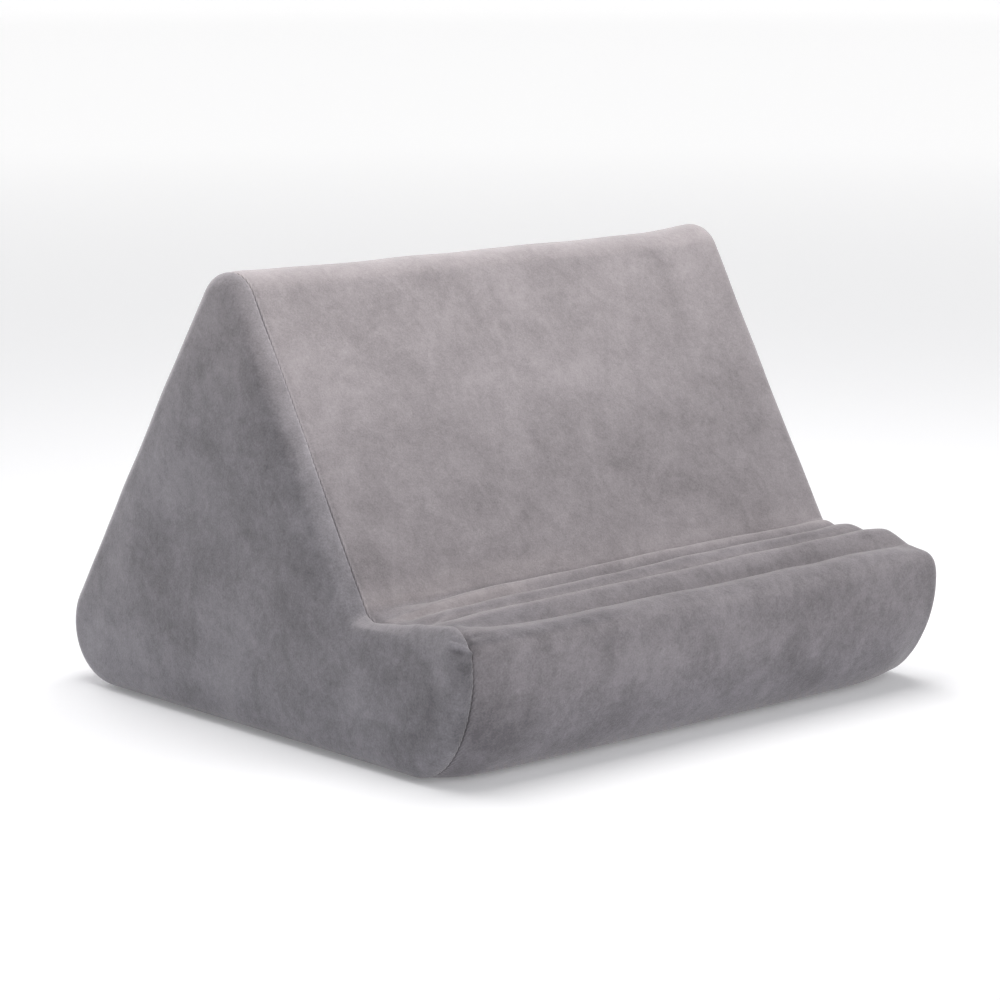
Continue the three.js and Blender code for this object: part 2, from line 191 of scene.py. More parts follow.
def inset(pts, depth):
    """The outline moved inwards by one depth or one for each point. Deeper outlines follow softer corners, as cloth does."""
    depth = np.broadcast_to(np.asarray(depth, float), len(pts))
    if not depth.any():
        return pts
    step = np.roll(pts, -1, 0) - pts
    length = np.linalg.norm(step, axis=1)
    s = np.concatenate([[0], np.cumsum(length)])
    mid, total = (s[:-1] + s[1:]) / 2, s[-1]
    gap = np.abs(s[:-1, None] - mid[None, :])
    gap = np.minimum(gap, total - gap)
    reach = max(0.25, 0.42 * float(depth.max()))
    weight = np.exp(-0.5 * (gap / reach) ** 2) * length[None, :]
    tangent = weight @ (step / length[:, None])
    tangent /= np.linalg.norm(tangent, axis=1)[:, None]
    return pts - np.stack([tangent[:, 1], -tangent[:, 0]], 1) * depth[:, None]


def inside_of(loop, pts):
    """Which points lie in a closed loop."""
    a, b = loop, np.roll(loop, -1, 0)
    hit = np.zeros(len(pts), bool)
    for p, q in zip(a, b):
        cross = (p[1] > pts[:, 1]) != (q[1] > pts[:, 1])
        with np.errstate(divide="ignore", invalid="ignore"):
            yy = (q[0] - p[0]) * (pts[:, 1] - p[1]) / (q[1] - p[1]) + p[0]
        hit ^= cross & (pts[:, 0] < yy)
    return hit


def distance_to(loop, pts):
    a, b = loop, np.roll(loop, -1, 0)
    best = np.full(len(pts), 1e9)
    for p, q in zip(a, b):
        e = q - p
        t = np.clip(((pts - p) @ e) / max(1e-12, e @ e), 0, 1)
        best = np.minimum(best, np.linalg.norm(pts - (p + t[:, None] * e), axis=1))
    return best


# ------------------------------------------------------------------ the crown of an end, as a stretched skin
class Crown:
    """How far each point of an end stands out: a skin held at the outline and pushed from behind."""

    def __init__(self, outline, step=2.5):
        lo, hi = outline.min(0) - 2 * step, outline.max(0) + 2 * step
        self.y, self.z = np.arange(lo[0], hi[0], step), np.arange(lo[1], hi[1], step)
        gy, gz = np.meshgrid(self.y, self.z, indexing="ij")
        inner = inside_of(outline, np.stack([gy.ravel(), gz.ravel()], 1)).reshape(gy.shape)
        h = np.zeros(gy.shape)
        for _ in range(2600):
            h[1:-1, 1:-1] = 0.25 * (h[2:, 1:-1] + h[:-2, 1:-1] + h[1:-1, 2:] + h[1:-1, :-2]) + 0.001
            h *= inner
        h /= h.max()
        self.h = np.minimum(1.0, 1.7 * h) ** 0.8 * 0.6 + 0.4 * h  # foam is flatter in the middle than a free skin
        self.h /= self.h.max()
        self.step = step

    def __call__(self, pts):
        fy, fz = (pts[:, 0] - self.y[0]) / self.step, (pts[:, 1] - self.z[0]) / self.step
        i, j = np.clip(fy.astype(int), 0, len(self.y) - 2), np.clip(fz.astype(int), 0, len(self.z) - 2)
        a, b = fy - i, fz - j
        h = self.h
        return END_CROWN * ((1 - a) * (1 - b) * h[i, j] + a * (1 - b) * h[i + 1, j] + (1 - a) * b * h[i, j + 1] + a * b * h[i + 1, j + 1])


def filled_in(loop, step):
    """Points inside a loop and the triangles that fill it. The loop's points keep their numbers."""
    lo, hi = loop.min(0), loop.max(0)
    rows = []
    for k, z in enumerate(np.arange(lo[1] + step * 0.5, hi[1], step * 0.866)):
        y = np.arange(lo[0] + (step / 2 if k % 2 else 0), hi[0], step)
        rows.append(np.stack([y, np.full(len(y), z)], 1))
    grid = np.concatenate(rows)
    grid = grid[inside_of(loop, grid)]
    grid = grid[distance_to(loop, grid) > step * 0.55]
    pts = np.concatenate([loop, grid])
    n = len(loop)
    verts, _, faces, orig, _, _ = delaunay_2d_cdt([Vector(p) for p in pts], [(i, (i + 1) % n) for i in range(n)], [], 1, 1e-6)
    back = [o[0] for o in orig]
    return pts, np.array([[back[i] for i in f] for f in faces if len(f) == 3])


# ------------------------------------------------------------------ soft shape on top of the sections
# Small creases where the sewing draws the cloth together. A line from one point to another on the
# surface; width is how wide, rise how high (a dent is negative), along which direction.
CREASES = [
    dict(name="between the ends of rolls 1 and 2", a=(-106.5, -72.6, 60.2), b=(-114.5, -74.2, 58.8), width=1.7, rise=-1.6, way=(0, 0, 1)),
    dict(name="dimple at the slope", a=(-118, -74.0, 58.8), b=(-121, -76.5, 58.4), width=1.4, rise=-1.1, way=(0, 0, 1)),
    dict(name="soft fold beside it", a=(-118.5, -70.0, 59.4), b=(-123.0, -77.0, 58.6), width=1.5, rise=0.7, way=(0, -0.3, 1)),
    dict(name="between the ends of rolls 2 and 3", a=(-116.5, -87.5, 60.2), b=(-123.0, -89.0, 60.0), width=1.9, rise=-1.5, way=(0, 0, 1)),
    dict(name="end of roll 2", a=(-116, -80.5, 60.2), b=(-121, -83.5, 60.0), width=2.2, rise=0.6, way=(0, 0, 1)),
    dict(name="between roll 3 and the nose", a=(-111, -106, 60.8), b=(-120, -109, 61.0), width=2.2, rise=-1.2, way=(0, 0, 1)),
    dict(name="hump before the corner", a=(-119, -96, 61), b=(-125, -112, 62), width=4.2, rise=0.7, way=(0, 0, 1)),
    dict(name="pinched fold at the nose", on="end_cover_left", a=(-138.6, -121.8, 59.4), b=(-135.2, -126.4, 57.0), width=1.0, rise=1.3, way=(-0.5, -0.6, 0.6)),
    dict(name="valley above it", on="end_cover_left", a=(-137.9, -121.8, 60.4), b=(-134.8, -125.6, 58.0), width=0.8, rise=-0.8, way=(-0.5, -0.6, 0.6)),
    dict(name="small fold above the valley", on="end_cover_left", a=(-137.2, -121.8, 61.4), b=(-134.6, -124.8, 59.2), width=0.9, rise=0.7, way=(-0.5, -0.6, 0.6)),
    dict(name="pit under the folds", on="end_cover_left", a=(-138.6, -123.0, 57.2), b=(-135.6, -126.8, 55.4), width=1.25, rise=-1.7, way=(-0.7, -0.6, 0.35)),
    dict(name="second fold, over the seam", on="end_cover_left", a=(-136.8, -125.9, 56.2), b=(-132.2, -127.0, 54.7), width=1.15, rise=1.5, way=(0.1, -0.9, 0.4)),
    dict(name="lower hollow", a=(-137.2, -126.6, 51.0), b=(-133.8, -128.8, 51.2), width=1.7, rise=-1.1, way=(-0.6, -0.7, 0.2)),
    dict(name="tight stitch at the corner", a=(-132.2, -121.2, 62.5), b=(-132.2, -122.8, 61.0), width=1.6, rise=-1.8, way=(0, -0.6, 0.8)),
    dict(name="nose top drawn down at the right end", a=(126, -121, 60.6), b=(140, -121, 59.4), width=5.5, rise=-1.2, way=(0, -0.3, 1)),
    dict(name="hollow in the nose beside the seam", a=(-130.5, -122.6, 61.0), b=(-124.5, -122.6, 61.2), width=2.3, rise=-1.5, way=(0, -0.6, 0.8)),
]


def waves(p, size, seed):
    """Smooth noise of about unit strength at features of `size` mm."""
    off = Vector((seed * 17.3, seed * 5.1, seed * 11.7))
    return np.array([noise.noise(Vector(q) / size + off) for q in p]) * 1.6


def softened(p, normals, name):
    """The pillow's own unevenness and its creases, added to points p (mm) with unit normals."""
    out = p.copy()
    on_floor = smooth((p[:, 2] - 0.5) / 9.0)
    ledge = smooth((-60 - p[:, 1]) / 10) * smooth((p[:, 2] - 50) / 6)
    amount = 0.34 * waves(p, 46, 1) + 0.15 * waves(p, 19, 2) + ledge * 0.22 * waves(p * [0.45, 1, 1], 9, 3)
    out += normals * (amount * on_floor)[:, None]
    for c in CREASES:
        if c.get("on", name) != name:
            continue
        a, b, way = np.array(c["a"], float), np.array(c["b"], float), np.array(c["way"], float)
        e = b - a
        t = np.clip((p - a) @ e / (e @ e), 0, 1)
        d = np.linalg.norm(p - (a + t[:, None] * e), axis=1)
        taper = 0.45 + 0.55 * np.sin(math.pi * (0.15 + 0.7 * t))
        out += (way / np.linalg.norm(way)) * (c["rise"] * taper * np.exp(-((d / c["width"]) ** 2)))[:, None]
    return out


# Strokes in the pile, brushed the other way, and spots of painted light and shade: centre, half sizes along X and
# across the surface, strength (above 0 is lighter), and turn in degrees. `on` is the surface they lie on.
NAP_AND_PAINTED_LIGHT = [
    dict(on="slope", at=(-8, 163), size=(3.2, 13), strength=-1.0, turn=-8),
    dict(on="slope", at=(-19, 166), size=(3.6, 8), strength=-0.5, turn=10),
    dict(on="slope", at=(-1, 150), size=(5, 6), strength=0.5, turn=0),
    dict(on="slope", at=(107, 158), size=(9, 30), strength=0.55, turn=-12),
    dict(on="slope", at=(93, 150), size=(5, 26), strength=-0.6, turn=-10),
    dict(on="slope", at=(112, 118), size=(17, 16), strength=-0.7, turn=15),
    dict(on="slope", at=(84, 122), size=(44, 26), strength=-0.35, turn=0),
    dict(on="slope", at=(-30, 138), size=(60, 6), strength=0.5, turn=-1),
    dict(on="slope", at=(45, 133), size=(36, 6), strength=0.5, turn=-3),
    dict(on="slope", at=(-62, 122), size=(34, 8), strength=-0.35, turn=0),
    dict(on="slope", at=(20, 112), size=(66, 11), strength=-0.5, turn=-2),
    dict(on="slope", at=(-78, 168), size=(34, 9), strength=-0.35, turn=4),
    dict(on="slope", at=(60, 166), size=(20, 15), strength=-0.3, turn=0),
    dict(on="slope", at=(60, 84), size=(60, 5), strength=-0.35, turn=-2),
    dict(on="slope", at=(-117, 127), size=(26, 16), strength=0.6, turn=0),
    dict(on="slope", at=(-117, 75), size=(28, 15), strength=-1.1, turn=0),
    # painted shade in the hollow at the corner of the nose, beside the seam
    dict(on="nose", at=(-131.2, 60.2), size=(2.0, 2.4), strength=-1.6, turn=0),
    dict(on="nose", at=(-99, 56), size=(4, 7), strength=-0.8, turn=20),
    dict(on="nose", at=(-96, 40), size=(7, 4), strength=-0.5, turn=0),
    dict(on="nose", at=(-52, 31), size=(4, 6), strength=-0.9, turn=-25),
    dict(on="nose", at=(-70, 30), size=(12, 5), strength=-0.4, turn=0),
    dict(on="nose", at=(-30, 47), size=(10, 8), strength=0.4, turn=0),
    dict(on="nose", at=(92, 38), size=(9, 6), strength=-0.7, turn=0),
    dict(on="nose", at=(30, 24), size=(26, 5), strength=-0.3, turn=0),
    dict(on="nose", at=(-122, 22), size=(9, 9), strength=-0.6, turn=0),
    dict(on="nose", at=(-22, 42), size=(62, 17), strength=0.55, turn=0),
    dict(on="nose", at=(-118, 26), size=(22, 24), strength=-1.1, turn=0),
    dict(on="nose", at=(-84, 16), size=(50, 14), strength=-0.9, turn=0),
    dict(on="nose", at=(80, 30), size=(64, 34), strength=-0.6, turn=0),
    dict(on="nose", at=(-84, 58), size=(34, 5), strength=-0.6, turn=0),
    # painted highlights on the pinched folds at the nose corner, painted shade in the pit under them and in the hollow
    # lower down
    dict(on="corner", at=(-124.1, 58.2), size=(3.4, 1.4), strength=1.4, turn=27),
    dict(on="corner", at=(-125.0, 56.0), size=(3.2, 1.3), strength=-1.3, turn=27),
    dict(on="corner", at=(-123.2, 60.4), size=(2.2, 1.0), strength=0.8, turn=27),
    dict(on="corner", at=(-127.6, 50.6), size=(2.6, 3.0), strength=-0.8, turn=0),
    dict(on="left", at=(0, 140), size=(13, 22), strength=-0.5, turn=10),
    dict(on="left", at=(62, 60), size=(15, 20), strength=-0.35, turn=0),
    dict(on="left", at=(-20, 92), size=(16, 12), strength=0.35, turn=0),
    dict(on="left", at=(-75, 30), size=(18, 12), strength=0.3, turn=0),
    dict(on="left", at=(-112, 30), size=(7, 10), strength=-0.5, turn=0),
    dict(on="left", at=(-2, 112), size=(44, 48), strength=-0.5, turn=0),
    dict(on="left", at=(0, 40), size=(110, 40), strength=-0.3, turn=0),
    dict(on="left", at=(-94, 36), size=(30, 24), strength=-0.75, turn=0),
    dict(on="left", at=(-52, 74), size=(26, 34), strength=-0.45, turn=0),
    dict(on="left", at=(25, 20), size=(30, 9), strength=0.25, turn=0),
]


def lay_and_painted_light_of(p, n, side):
    """Painted light and shade in the colour of the pile: it reads lighter up the slope and over the ridge, where the
    light falls most, and darker on the ledge and nose; the crests of the rolls get painted highlights. Only the end
    panels' small overall darkening is their own tone.
    """
    if side:
        # End panels: painted light on the up-facing rim and along the front edge, and lighter high up; the -0.045 is
        # the panels' own slightly darker tone.
        rim = smooth((n[:, 2] - 0.40) / 0.5) * smooth((-p[:, 1] - 40) / 20)
        edge = smooth((-n[:, 1] - 0.30) / 0.5) * smooth((n[:, 2] - 0.02) / 0.2) * smooth((p[:, 2] - 66) / 10)
        return 0.20 * rim + 0.13 * smooth((p[:, 2] - 132) / 42) - 0.045 + edge * (0.04 + 0.13 * np.exp(-(((p[:, 2] - 138) / 36) ** 2)))
    # Wrap: painted light up the slope (more at its foot, against the shade of the rolls), over the ridge and on the
    # back; painted shade low on the nose.
    slope = smooth((-n[:, 1] - 0.55) / 0.25) * smooth((n[:, 2] - 0.25) / 0.15) * smooth((p[:, 2] - 61) / 7)
    high = smooth((p[:, 2] - 70) / 115)
    ridge = smooth((p[:, 2] - 176) / 12)
    back = smooth((n[:, 1] - 0.3) / 0.4) * (1 - ridge)
    low = (smooth((42 - p[:, 2]) / 36) + 1.4 * smooth((60 - p[:, 2]) / 12)) * smooth((-p[:, 1] - 100) / 8)
    ledge = smooth((-64 - p[:, 1]) / 4) * smooth((p[:, 2] - 55) / 3) * smooth((p[:, 1] + 119) / 6)
    foot = 0.25 * smooth((-42 - p[:, 1]) / 14) + (0.35 + 0.70 * smooth((10 - p[:, 0]) / 60) - 0.35 * smooth((-92 - p[:, 0]) / 14)) * smooth((-56.5 - p[:, 1]) / 5)
    swing = smooth((p[:, 0] - 98) / 36)
    # Painted highlights along the crests of the rolls.
    crests = [(-70.6 + 4.0 * swing, 1.7, 1.7 - 0.9 * np.exp(-(((p[:, 0] + 26) / 9) ** 2))), (-84.2 + 2.4 * swing, 1.6, 0.9), (-102.4 + 0.8 * swing, 1.6, 0.8), (-118.8, 1.8, 0.7)]
    painted_roll_shading = sum(much * np.exp(-(((p[:, 1] - y) / wide) ** 2)) for y, wide, much in crests)
    painted_roll_shading *= smooth((p[:, 2] - 59.5) / 2.0) * smooth((p[:, 0] + 118) / 8)
    top = smooth((p[:, 2] - 56) / 3)
    y = p[:, 1] - 3.0 * swing
    # Painted light and shade on the fronts of the rolls and in their channels.
    fronts = 0.18 * smooth((-44 - p[:, 0]) / 24) * smooth((-71.2 - y) / 0.8) * smooth((y + 80) / 3)
    fronts += 0.055 * np.exp(-(((y + 75.0) / 1.0) ** 2)) + 0.065 * np.exp(-(((y + 89.2) / 0.9) ** 2)) + 0.05 * np.exp(-(((y + 110.3) / 0.7) ** 2))
    fronts -= (0.05 + 0.10 * smooth((-64 - p[:, 0]) / 26)) * smooth((-102.6 - y) / 3) * smooth((y + 112) / 3)
    fronts -= 0.05 * smooth((-84.4 - y) / 0.8) * smooth((y + 88.6) / 1.2)
    fronts -= (0.05 + 0.10 * smooth((-42 - p[:, 0]) / 26)) * smooth((-120.2 - y) / 2.5) * smooth((y + 130) / 3.5)
    fronts += 0.10 * np.exp(-(((p[:, 2] - 63.0) / 1.0) ** 2)) * smooth((-57 - p[:, 1]) / 3) * smooth((p[:, 1] + 71) / 4)
    painted_roll_shading += fronts * top / 0.09
    # Painted light along the bend at the foot of the slope, where the first roll shades it.
    bend = (0.085 + 0.095 * smooth((-84 - p[:, 0]) / 16)) * np.exp(-(((p[:, 2] - 63.0) / 2.8) ** 2)) * smooth((-57 - p[:, 1]) / 3) * smooth((p[:, 1] + 71) / 4)
    return np.maximum(slope * (0.11 + 0.125 * high + 0.10 * foot), np.maximum(ridge * 0.44, back * 0.10)) - 0.035 * low + ledge * (0.05 + 0.03 * smooth((-104 - p[:, 0]) / 8) - 0.10 * smooth((-118 - p[:, 0]) / 8)) + 0.09 * painted_roll_shading + bend


def hue_of(p, lay_and_painted_light, side):
    """0 is a cool violet grey, 1 a warm grey: the painted colour of the light, warm where the painted light is lighter,
    cool low down on the wrap and on the lower end panels, warm high on them.
    """
    low = 0.9 * smooth((48 - p[:, 2]) / 44) if not side else 0.45 * smooth((64 - p[:, 2]) / 60) - 0.45 * smooth((p[:, 2] - 100) / 70)
    return np.clip(0.55 + 1.6 * lay_and_painted_light - 0.5 * low, 0, 1)


def shade_of(p, d, side):
    """Painted shade in and beside the dip of a seam, most on the nose, least on the flat slopes, and more on the end
    panel's lip at the nose; below 0 it is painted light, in the groove on the slopes and beside the seam on the wrap's
    nose, where the groove's own shadow falls too dark.
    """
    nose = smooth((-110 - p[:, 1]) / 12) * smooth((p[:, 2] - 4) / 20)
    ledge = smooth((-84 - p[:, 1]) / 14) * smooth((p[:, 2] - 50) / 6)
    slope = smooth((p[:, 2] - 54) / 4) * smooth((p[:, 1] + 88) / 10)
    d = np.asarray(d)
    beside = slope * ((-0.15 if side else 0.35) * np.exp(-(((d - 1.9) / 1.3) ** 2)) - 1.3 * np.exp(-((d / 0.75) ** 2)))
    front = nose * smooth((57 - p[:, 2]) / 7)
    beside += front * (0.5 * np.exp(-(((d - 2.5) / 3.0) ** 2)) if side else -0.42 * np.exp(-(((d - 1.8) / 1.5) ** 2)))
    return np.exp(-((d / 1.35) ** 1.3)) * (0.25 * (1 - slope) + 0.9 * np.maximum(nose - 0.85 * front, 0.6 * ledge)) + beside


def nap_and_painted_light_of(p, n):
    """How light or dark the placed strokes make each point."""
    out = np.zeros(len(p))
    facing = dict(slope=smooth((-n[:, 1] - 0.5) / 0.3) * smooth((n[:, 2] - 0.2) / 0.2) * smooth((p[:, 2] - 66) / 6), nose=smooth((-n[:, 1] - 0.3) / 0.3) * smooth((-118 - p[:, 1]) / 6), left=smooth((-n[:, 0] - 0.6) / 0.3), corner=smooth((-132.4 - p[:, 0]) / 0.8))
    for s in NAP_AND_PAINTED_LIGHT:
        u = p[:, 1] if s["on"] in ("left", "corner") else p[:, 0]
        du, dv = u - s["at"][0], p[:, 2] - s["at"][1]
        c, d = math.cos(math.radians(s["turn"])), math.sin(math.radians(s["turn"]))
        a, b = (c * du + d * dv) / s["size"][0], (-d * du + c * dv) / s["size"][1]
        out += s["strength"] * np.exp(-((a * a + b * b) ** 1.4)) * facing[s["on"]]
    return out


# ------------------------------------------------------------------ meshes
def normals_of(p, tris):
    a, b, c = p[tris[:, 0]], p[tris[:, 1]], p[tris[:, 2]]
    fn = np.cross(b - a, c - a)
    n = np.zeros_like(p)
    for k in range(3):
        np.add.at(n, tris[:, k], fn)
    return n / np.maximum(1e-12, np.linalg.norm(n, axis=1))[:, None]


def stitched(rings, flip):
    """Quads between rings (lists of vertex numbers)."""
    quads = []
    for r0, r1 in zip(rings[:-1], rings[1:]):
        a, b, c, d = r0, np.roll(r0, -1), np.roll(r1, -1), r1
        quads.append(np.stack([a, b, c, d] if not flip else [d, c, b, a], 1))
    return np.concatenate(quads)


def object_from(name, p, quads, tris, attributes):
    split = np.concatenate([quads[:, [0, 1, 2]], quads[:, [0, 2, 3]], tris])
    a, b, c = p[split[:, 0]], p[split[:, 1]], p[split[:, 2]]
    if np.einsum("ij,ij->i", a, np.cross(b, c)).sum() < 0:  # turn the faces out
        quads, tris, split = quads[:, ::-1], tris[:, ::-1], split[:, ::-1]
    n = normals_of(p, split)
    # colour attributes: strokes in the pile with painted light and shade, painted light and shade over the surface,
    # painted shade at the seams, and the painted colour of the light
    attributes["nap_and_painted_light"] = nap_and_painted_light_of(p, n)
    attributes["lay_and_painted_light"] = lay_and_painted_light_of(p, n, name != "pillow_body")
    attributes["seam_shade"] = shade_of(p, attributes["seam_d"], name != "pillow_body")
    attributes["hue"] = hue_of(p, attributes["lay_and_painted_light"], name != "pillow_body")
    p = softened(p, n, name)
    p[:, 2] = np.maximum(p[:, 2], 0.0)
    mesh = bpy.data.meshes.new(name)
    mesh.from_pydata((p * MM).tolist(), [], quads.tolist() + tris.tolist())
    mesh.validate()
    mesh.shade_smooth()
    for key, values in attributes.items():
        mesh.attributes.new(key, "FLOAT", "POINT").data.foreach_set("value", np.asarray(values, np.float32))
    mesh.update()
    o = bpy.data.objects.new(name, mesh)
    bpy.context.scene.collection.objects.link(o)
    return o


def seam_length(pts):
    d = np.linalg.norm(np.roll(pts, -1, 0) - pts, axis=1)
    return np.concatenate([[0], np.cumsum(d)[:-1]])


def draw_in(dx):
    """How far the stitching pulls the cloth down at dx mm beside a seam."""
    return 0.42 * np.exp(-((dx / 3.2) ** 1.5))


ENDS = {-1: section(-ROUND_X), 1: section(ROUND_X)}
CROWNS = {side: Crown(flattened(ENDS[side], 1.0)) for side in (-1, 1)}


def along_end(knots):
    """Values at knots (y, z, value) spread along the left end's outline, 0 elsewhere."""
    pts = ENDS[-1]
    arc = seam_length(pts)
    spots = sorted((arc[np.argmin(np.hypot(pts[:, 0] - y, pts[:, 1] - z))], v) for y, z, v in knots)
    return np.interp(arc, [k[0] for k in spots], [k[1] for k in spots], left=0, right=0)


# How far the edge of the left panel stands above its seam: the pinched corner at the nose is the highest.
PUFF = along_end([(-62, 64, 0.0), (-71, 58, 0.2), (-80, 57.5, 1.2), (-92, 59, 2.3), (-102, 60.5, 3.0), (-112, 61.3, 3.3), (-118, 62, 3.6), (-121, 61.5, 3.2), (-124, 59, 2.2), (-127, 54, 0.9), (-128.6, 48, 0.2), (-128, 42, 0.0)])
SUNK = along_end([(-64, 62, 0.0), (-72, 58, 0.8), (-100, 60.3, 1.0), (-116, 62, 1.1), (-121, 61.5, 1.1), (-124.5, 58.5, 1.5), (-127, 54.5, 1.3), (-128.4, 49, 1.3), (-128.6, 42, 1.1), (-126, 30, 0.8), (-120, 18, 0.4), (-110, 8, 0.0)])


def edge_ring(side, u, depth):
    """The outline u mm round the edge (below 0 is still on the long sides) and `depth` mm under its cloth."""
    dip = 0.0
    if side < 0:
        dip = SUNK * math.exp(-((abs(u - SEAM_U[side]) / 2.6) ** 2)) - PUFF * float(smooth((u - 0.3) / 2.0) * (1 - smooth((u - 2.2) / 8)))
    if u <= 0:
        pts = section(side * (ROUND_X + u))
        if depth > 0 or side < 0:
            pts = inset(flattened(pts, min(1.0, 0.6 * depth / END_ROUND)), depth + dip)
        return np.column_stack([np.full(len(pts), side * (ROUND_X + u)), pts])
    phi = min(u / END_ROUND, math.pi / 2)
    pts = inset(flattened(ENDS[side], min(1.0, (u + 0.6 * depth) / END_ROUND * 0.95)), END_ROUND - (END_ROUND - depth - dip) * math.cos(phi))
    x = ROUND_X + (END_ROUND - depth) * math.sin(phi) + CROWNS[side](pts) * math.sin(phi) ** 2
    return np.column_stack([side * x, pts])


LIP = [(LIP_R * (1 - math.cos(a)), LIP_R * (1 - math.sin(a))) for a in np.radians([0, 20, 40, 60, 78])]
NEAR = np.array([0.15, 0.4, 0.7, 1.1, 1.6, 2.3, 3.2, 4.3, 5.6, 7.2, 9.0, 11.0])


def wrap():
    """The filled body: the wrap from seam to seam, closed under the end panels."""
    loops, seam_d = [], []

    def end(side):
        """Rings from the flat under the panel, up the slit and over the lip, to 11 mm from the seam."""
        out, seam = [], SEAM_U[side]
        quarter = END_ROUND * math.pi / 2
        for u in np.linspace(quarter, seam + 1.2, 6):
            out.append((edge_ring(side, u, COVERED), 0.0))
        out.append((edge_ring(side, seam - SEAM_GAP, COVERED), 0.0))
        for dx, depth in LIP:
            d = SEAM_GAP + dx
            out.append((edge_ring(side, seam - d, depth + draw_in(d)), d))
        for d in SEAM_GAP + LIP_R + NEAR:
            out.append((edge_ring(side, seam - d, draw_in(d)), d))
        return out

    left, right = end(-1), end(1)
    x0, x1 = left[-1][0][0, 0], right[-1][0][0, 0]
    first = x0 + np.arange(1, 36) * 1.5
    last = x1 - np.arange(1, 9)[::-1] * 1.6
    middle = np.linspace(first[-1], last[0], 64)[1:-1]
    rings = left + [(np.column_stack([np.full(len(ENDS[1]), x), section(x)]), min(x - x0, x1 - x) + 12.0) for x in np.concatenate([first, middle, last])] + right[::-1]
    loops = [r[0] for r in rings]
    count = len(loops[0])
    p = np.concatenate(loops)
    numbers = [np.arange(count) + k * count for k in range(len(loops))]
    quads = stitched(numbers, False)
    tris, extra, total = [], [], len(p)
    for side, ring, loop in ((-1, numbers[0], loops[0]), (1, numbers[-1], loops[-1])):
        pts, faces = filled_in(loop[:, 1:], 7.0)
        new = pts[count:]
        number = np.concatenate([ring, np.arange(len(new)) + total])
        total += len(new)
        extra.append(np.column_stack([side * (EDGE - COVERED + CROWNS[side](new)), new]))
        tris.append(turned(number[faces], np.concatenate([p, *extra]), side))
    p = np.concatenate([p, *extra])
    if outward(p, quads) < 0:
        quads = quads[:, ::-1]
    flat = len(p) - count * len(loops)
    d = np.concatenate([np.full(count, r[1]) for r in rings] + [np.zeros(flat)])
    s = np.concatenate([seam_length(x[:, 1:]) for x in loops] + [np.zeros(flat)])
    return object_from("pillow_body", p, quads, np.concatenate(tris), dict(seam_d=d, seam_s=s))


def outward(p, quads):
    """Above 0 where the quads of a tube round the X axis face away from it."""
    mid = p[quads].mean(1)
    n = np.cross(p[quads[:, 2]] - p[quads[:, 0]], p[quads[:, 3]] - p[quads[:, 1]])
    return float(((mid[:, 1] - 4) * n[:, 1] + (mid[:, 2] - 24) * n[:, 2]).sum())


def turned(tris, p, side):
    n = np.cross(p[tris[:, 1]] - p[tris[:, 0]], p[tris[:, 2]] - p[tris[:, 0]])[:, 0]
    out = tris.copy()
    wrong = n * side < 0
    out[wrong] = out[wrong][:, ::-1]
    return out


def panel(side, name):
    """An end panel: a closed skin of cloth from its seam over the edge to its crowned face."""
    crown, seam = CROWNS[side], SEAM_U[side]
    quarter = END_ROUND * math.pi / 2
    spots = [(SEAM_GAP, CLOTH), (SEAM_GAP, LIP_R + 0.35)]  # the cut edge in the slit
    spots += [(SEAM_GAP + dx, depth + draw_in(SEAM_GAP + dx)) for dx, depth in LIP]
    first = SEAM_GAP + LIP_R
    spots += [(d, draw_in(d)) for d in first + (quarter - seam - first) * np.linspace(0, 1, 23)[1:]]
    outer = [(edge_ring(side, seam + d, depth), d) for d, depth in spots]
    inner = [(edge_ring(side, seam + d, CLOTH + (0.5 * draw_in(d) if d > first else 0.0)), d) for d, _ in spots[2:]]
    rings = inner[::-1] + outer
    loops = [r[0] for r in rings]
    count = len(loops[0])
    p = np.concatenate(loops)
    numbers = [np.arange(count) + k * count for k in range(len(loops))]
    quads = stitched(numbers, False)
    tris, extra, total = [], [], len(p)
    for ring, loop, deep, way in ((numbers[-1], loops[-1], 0.0, side), (numbers[0], loops[0], CLOTH, -side)):
        pts, faces = filled_in(loop[:, 1:], 3.0 if deep == 0 else 6.0)
        new = pts[count:]
        number = np.concatenate([ring, np.arange(len(new)) + total])
        total += len(new)
        extra.append(np.column_stack([side * (EDGE - deep + crown(new)), new]))
        tris.append(turned(number[faces], np.concatenate([p, *extra]), way))
    p = np.concatenate([p, *extra])
    if outward(p, quads[-count * 8 :]) < 0:
        quads = quads[:, ::-1]
    flat = len(p) - count * len(loops)
    d = np.concatenate([np.full(count, 20.0)] * len(inner) + [np.full(count, r[1]) for r in outer] + [np.full(flat, 20.0)])
    s = np.concatenate([seam_length(x[:, 1:]) for x in loops] + [np.zeros(flat)])
    return object_from(name, p, quads, np.concatenate(tris), dict(seam_d=d, seam_s=s))


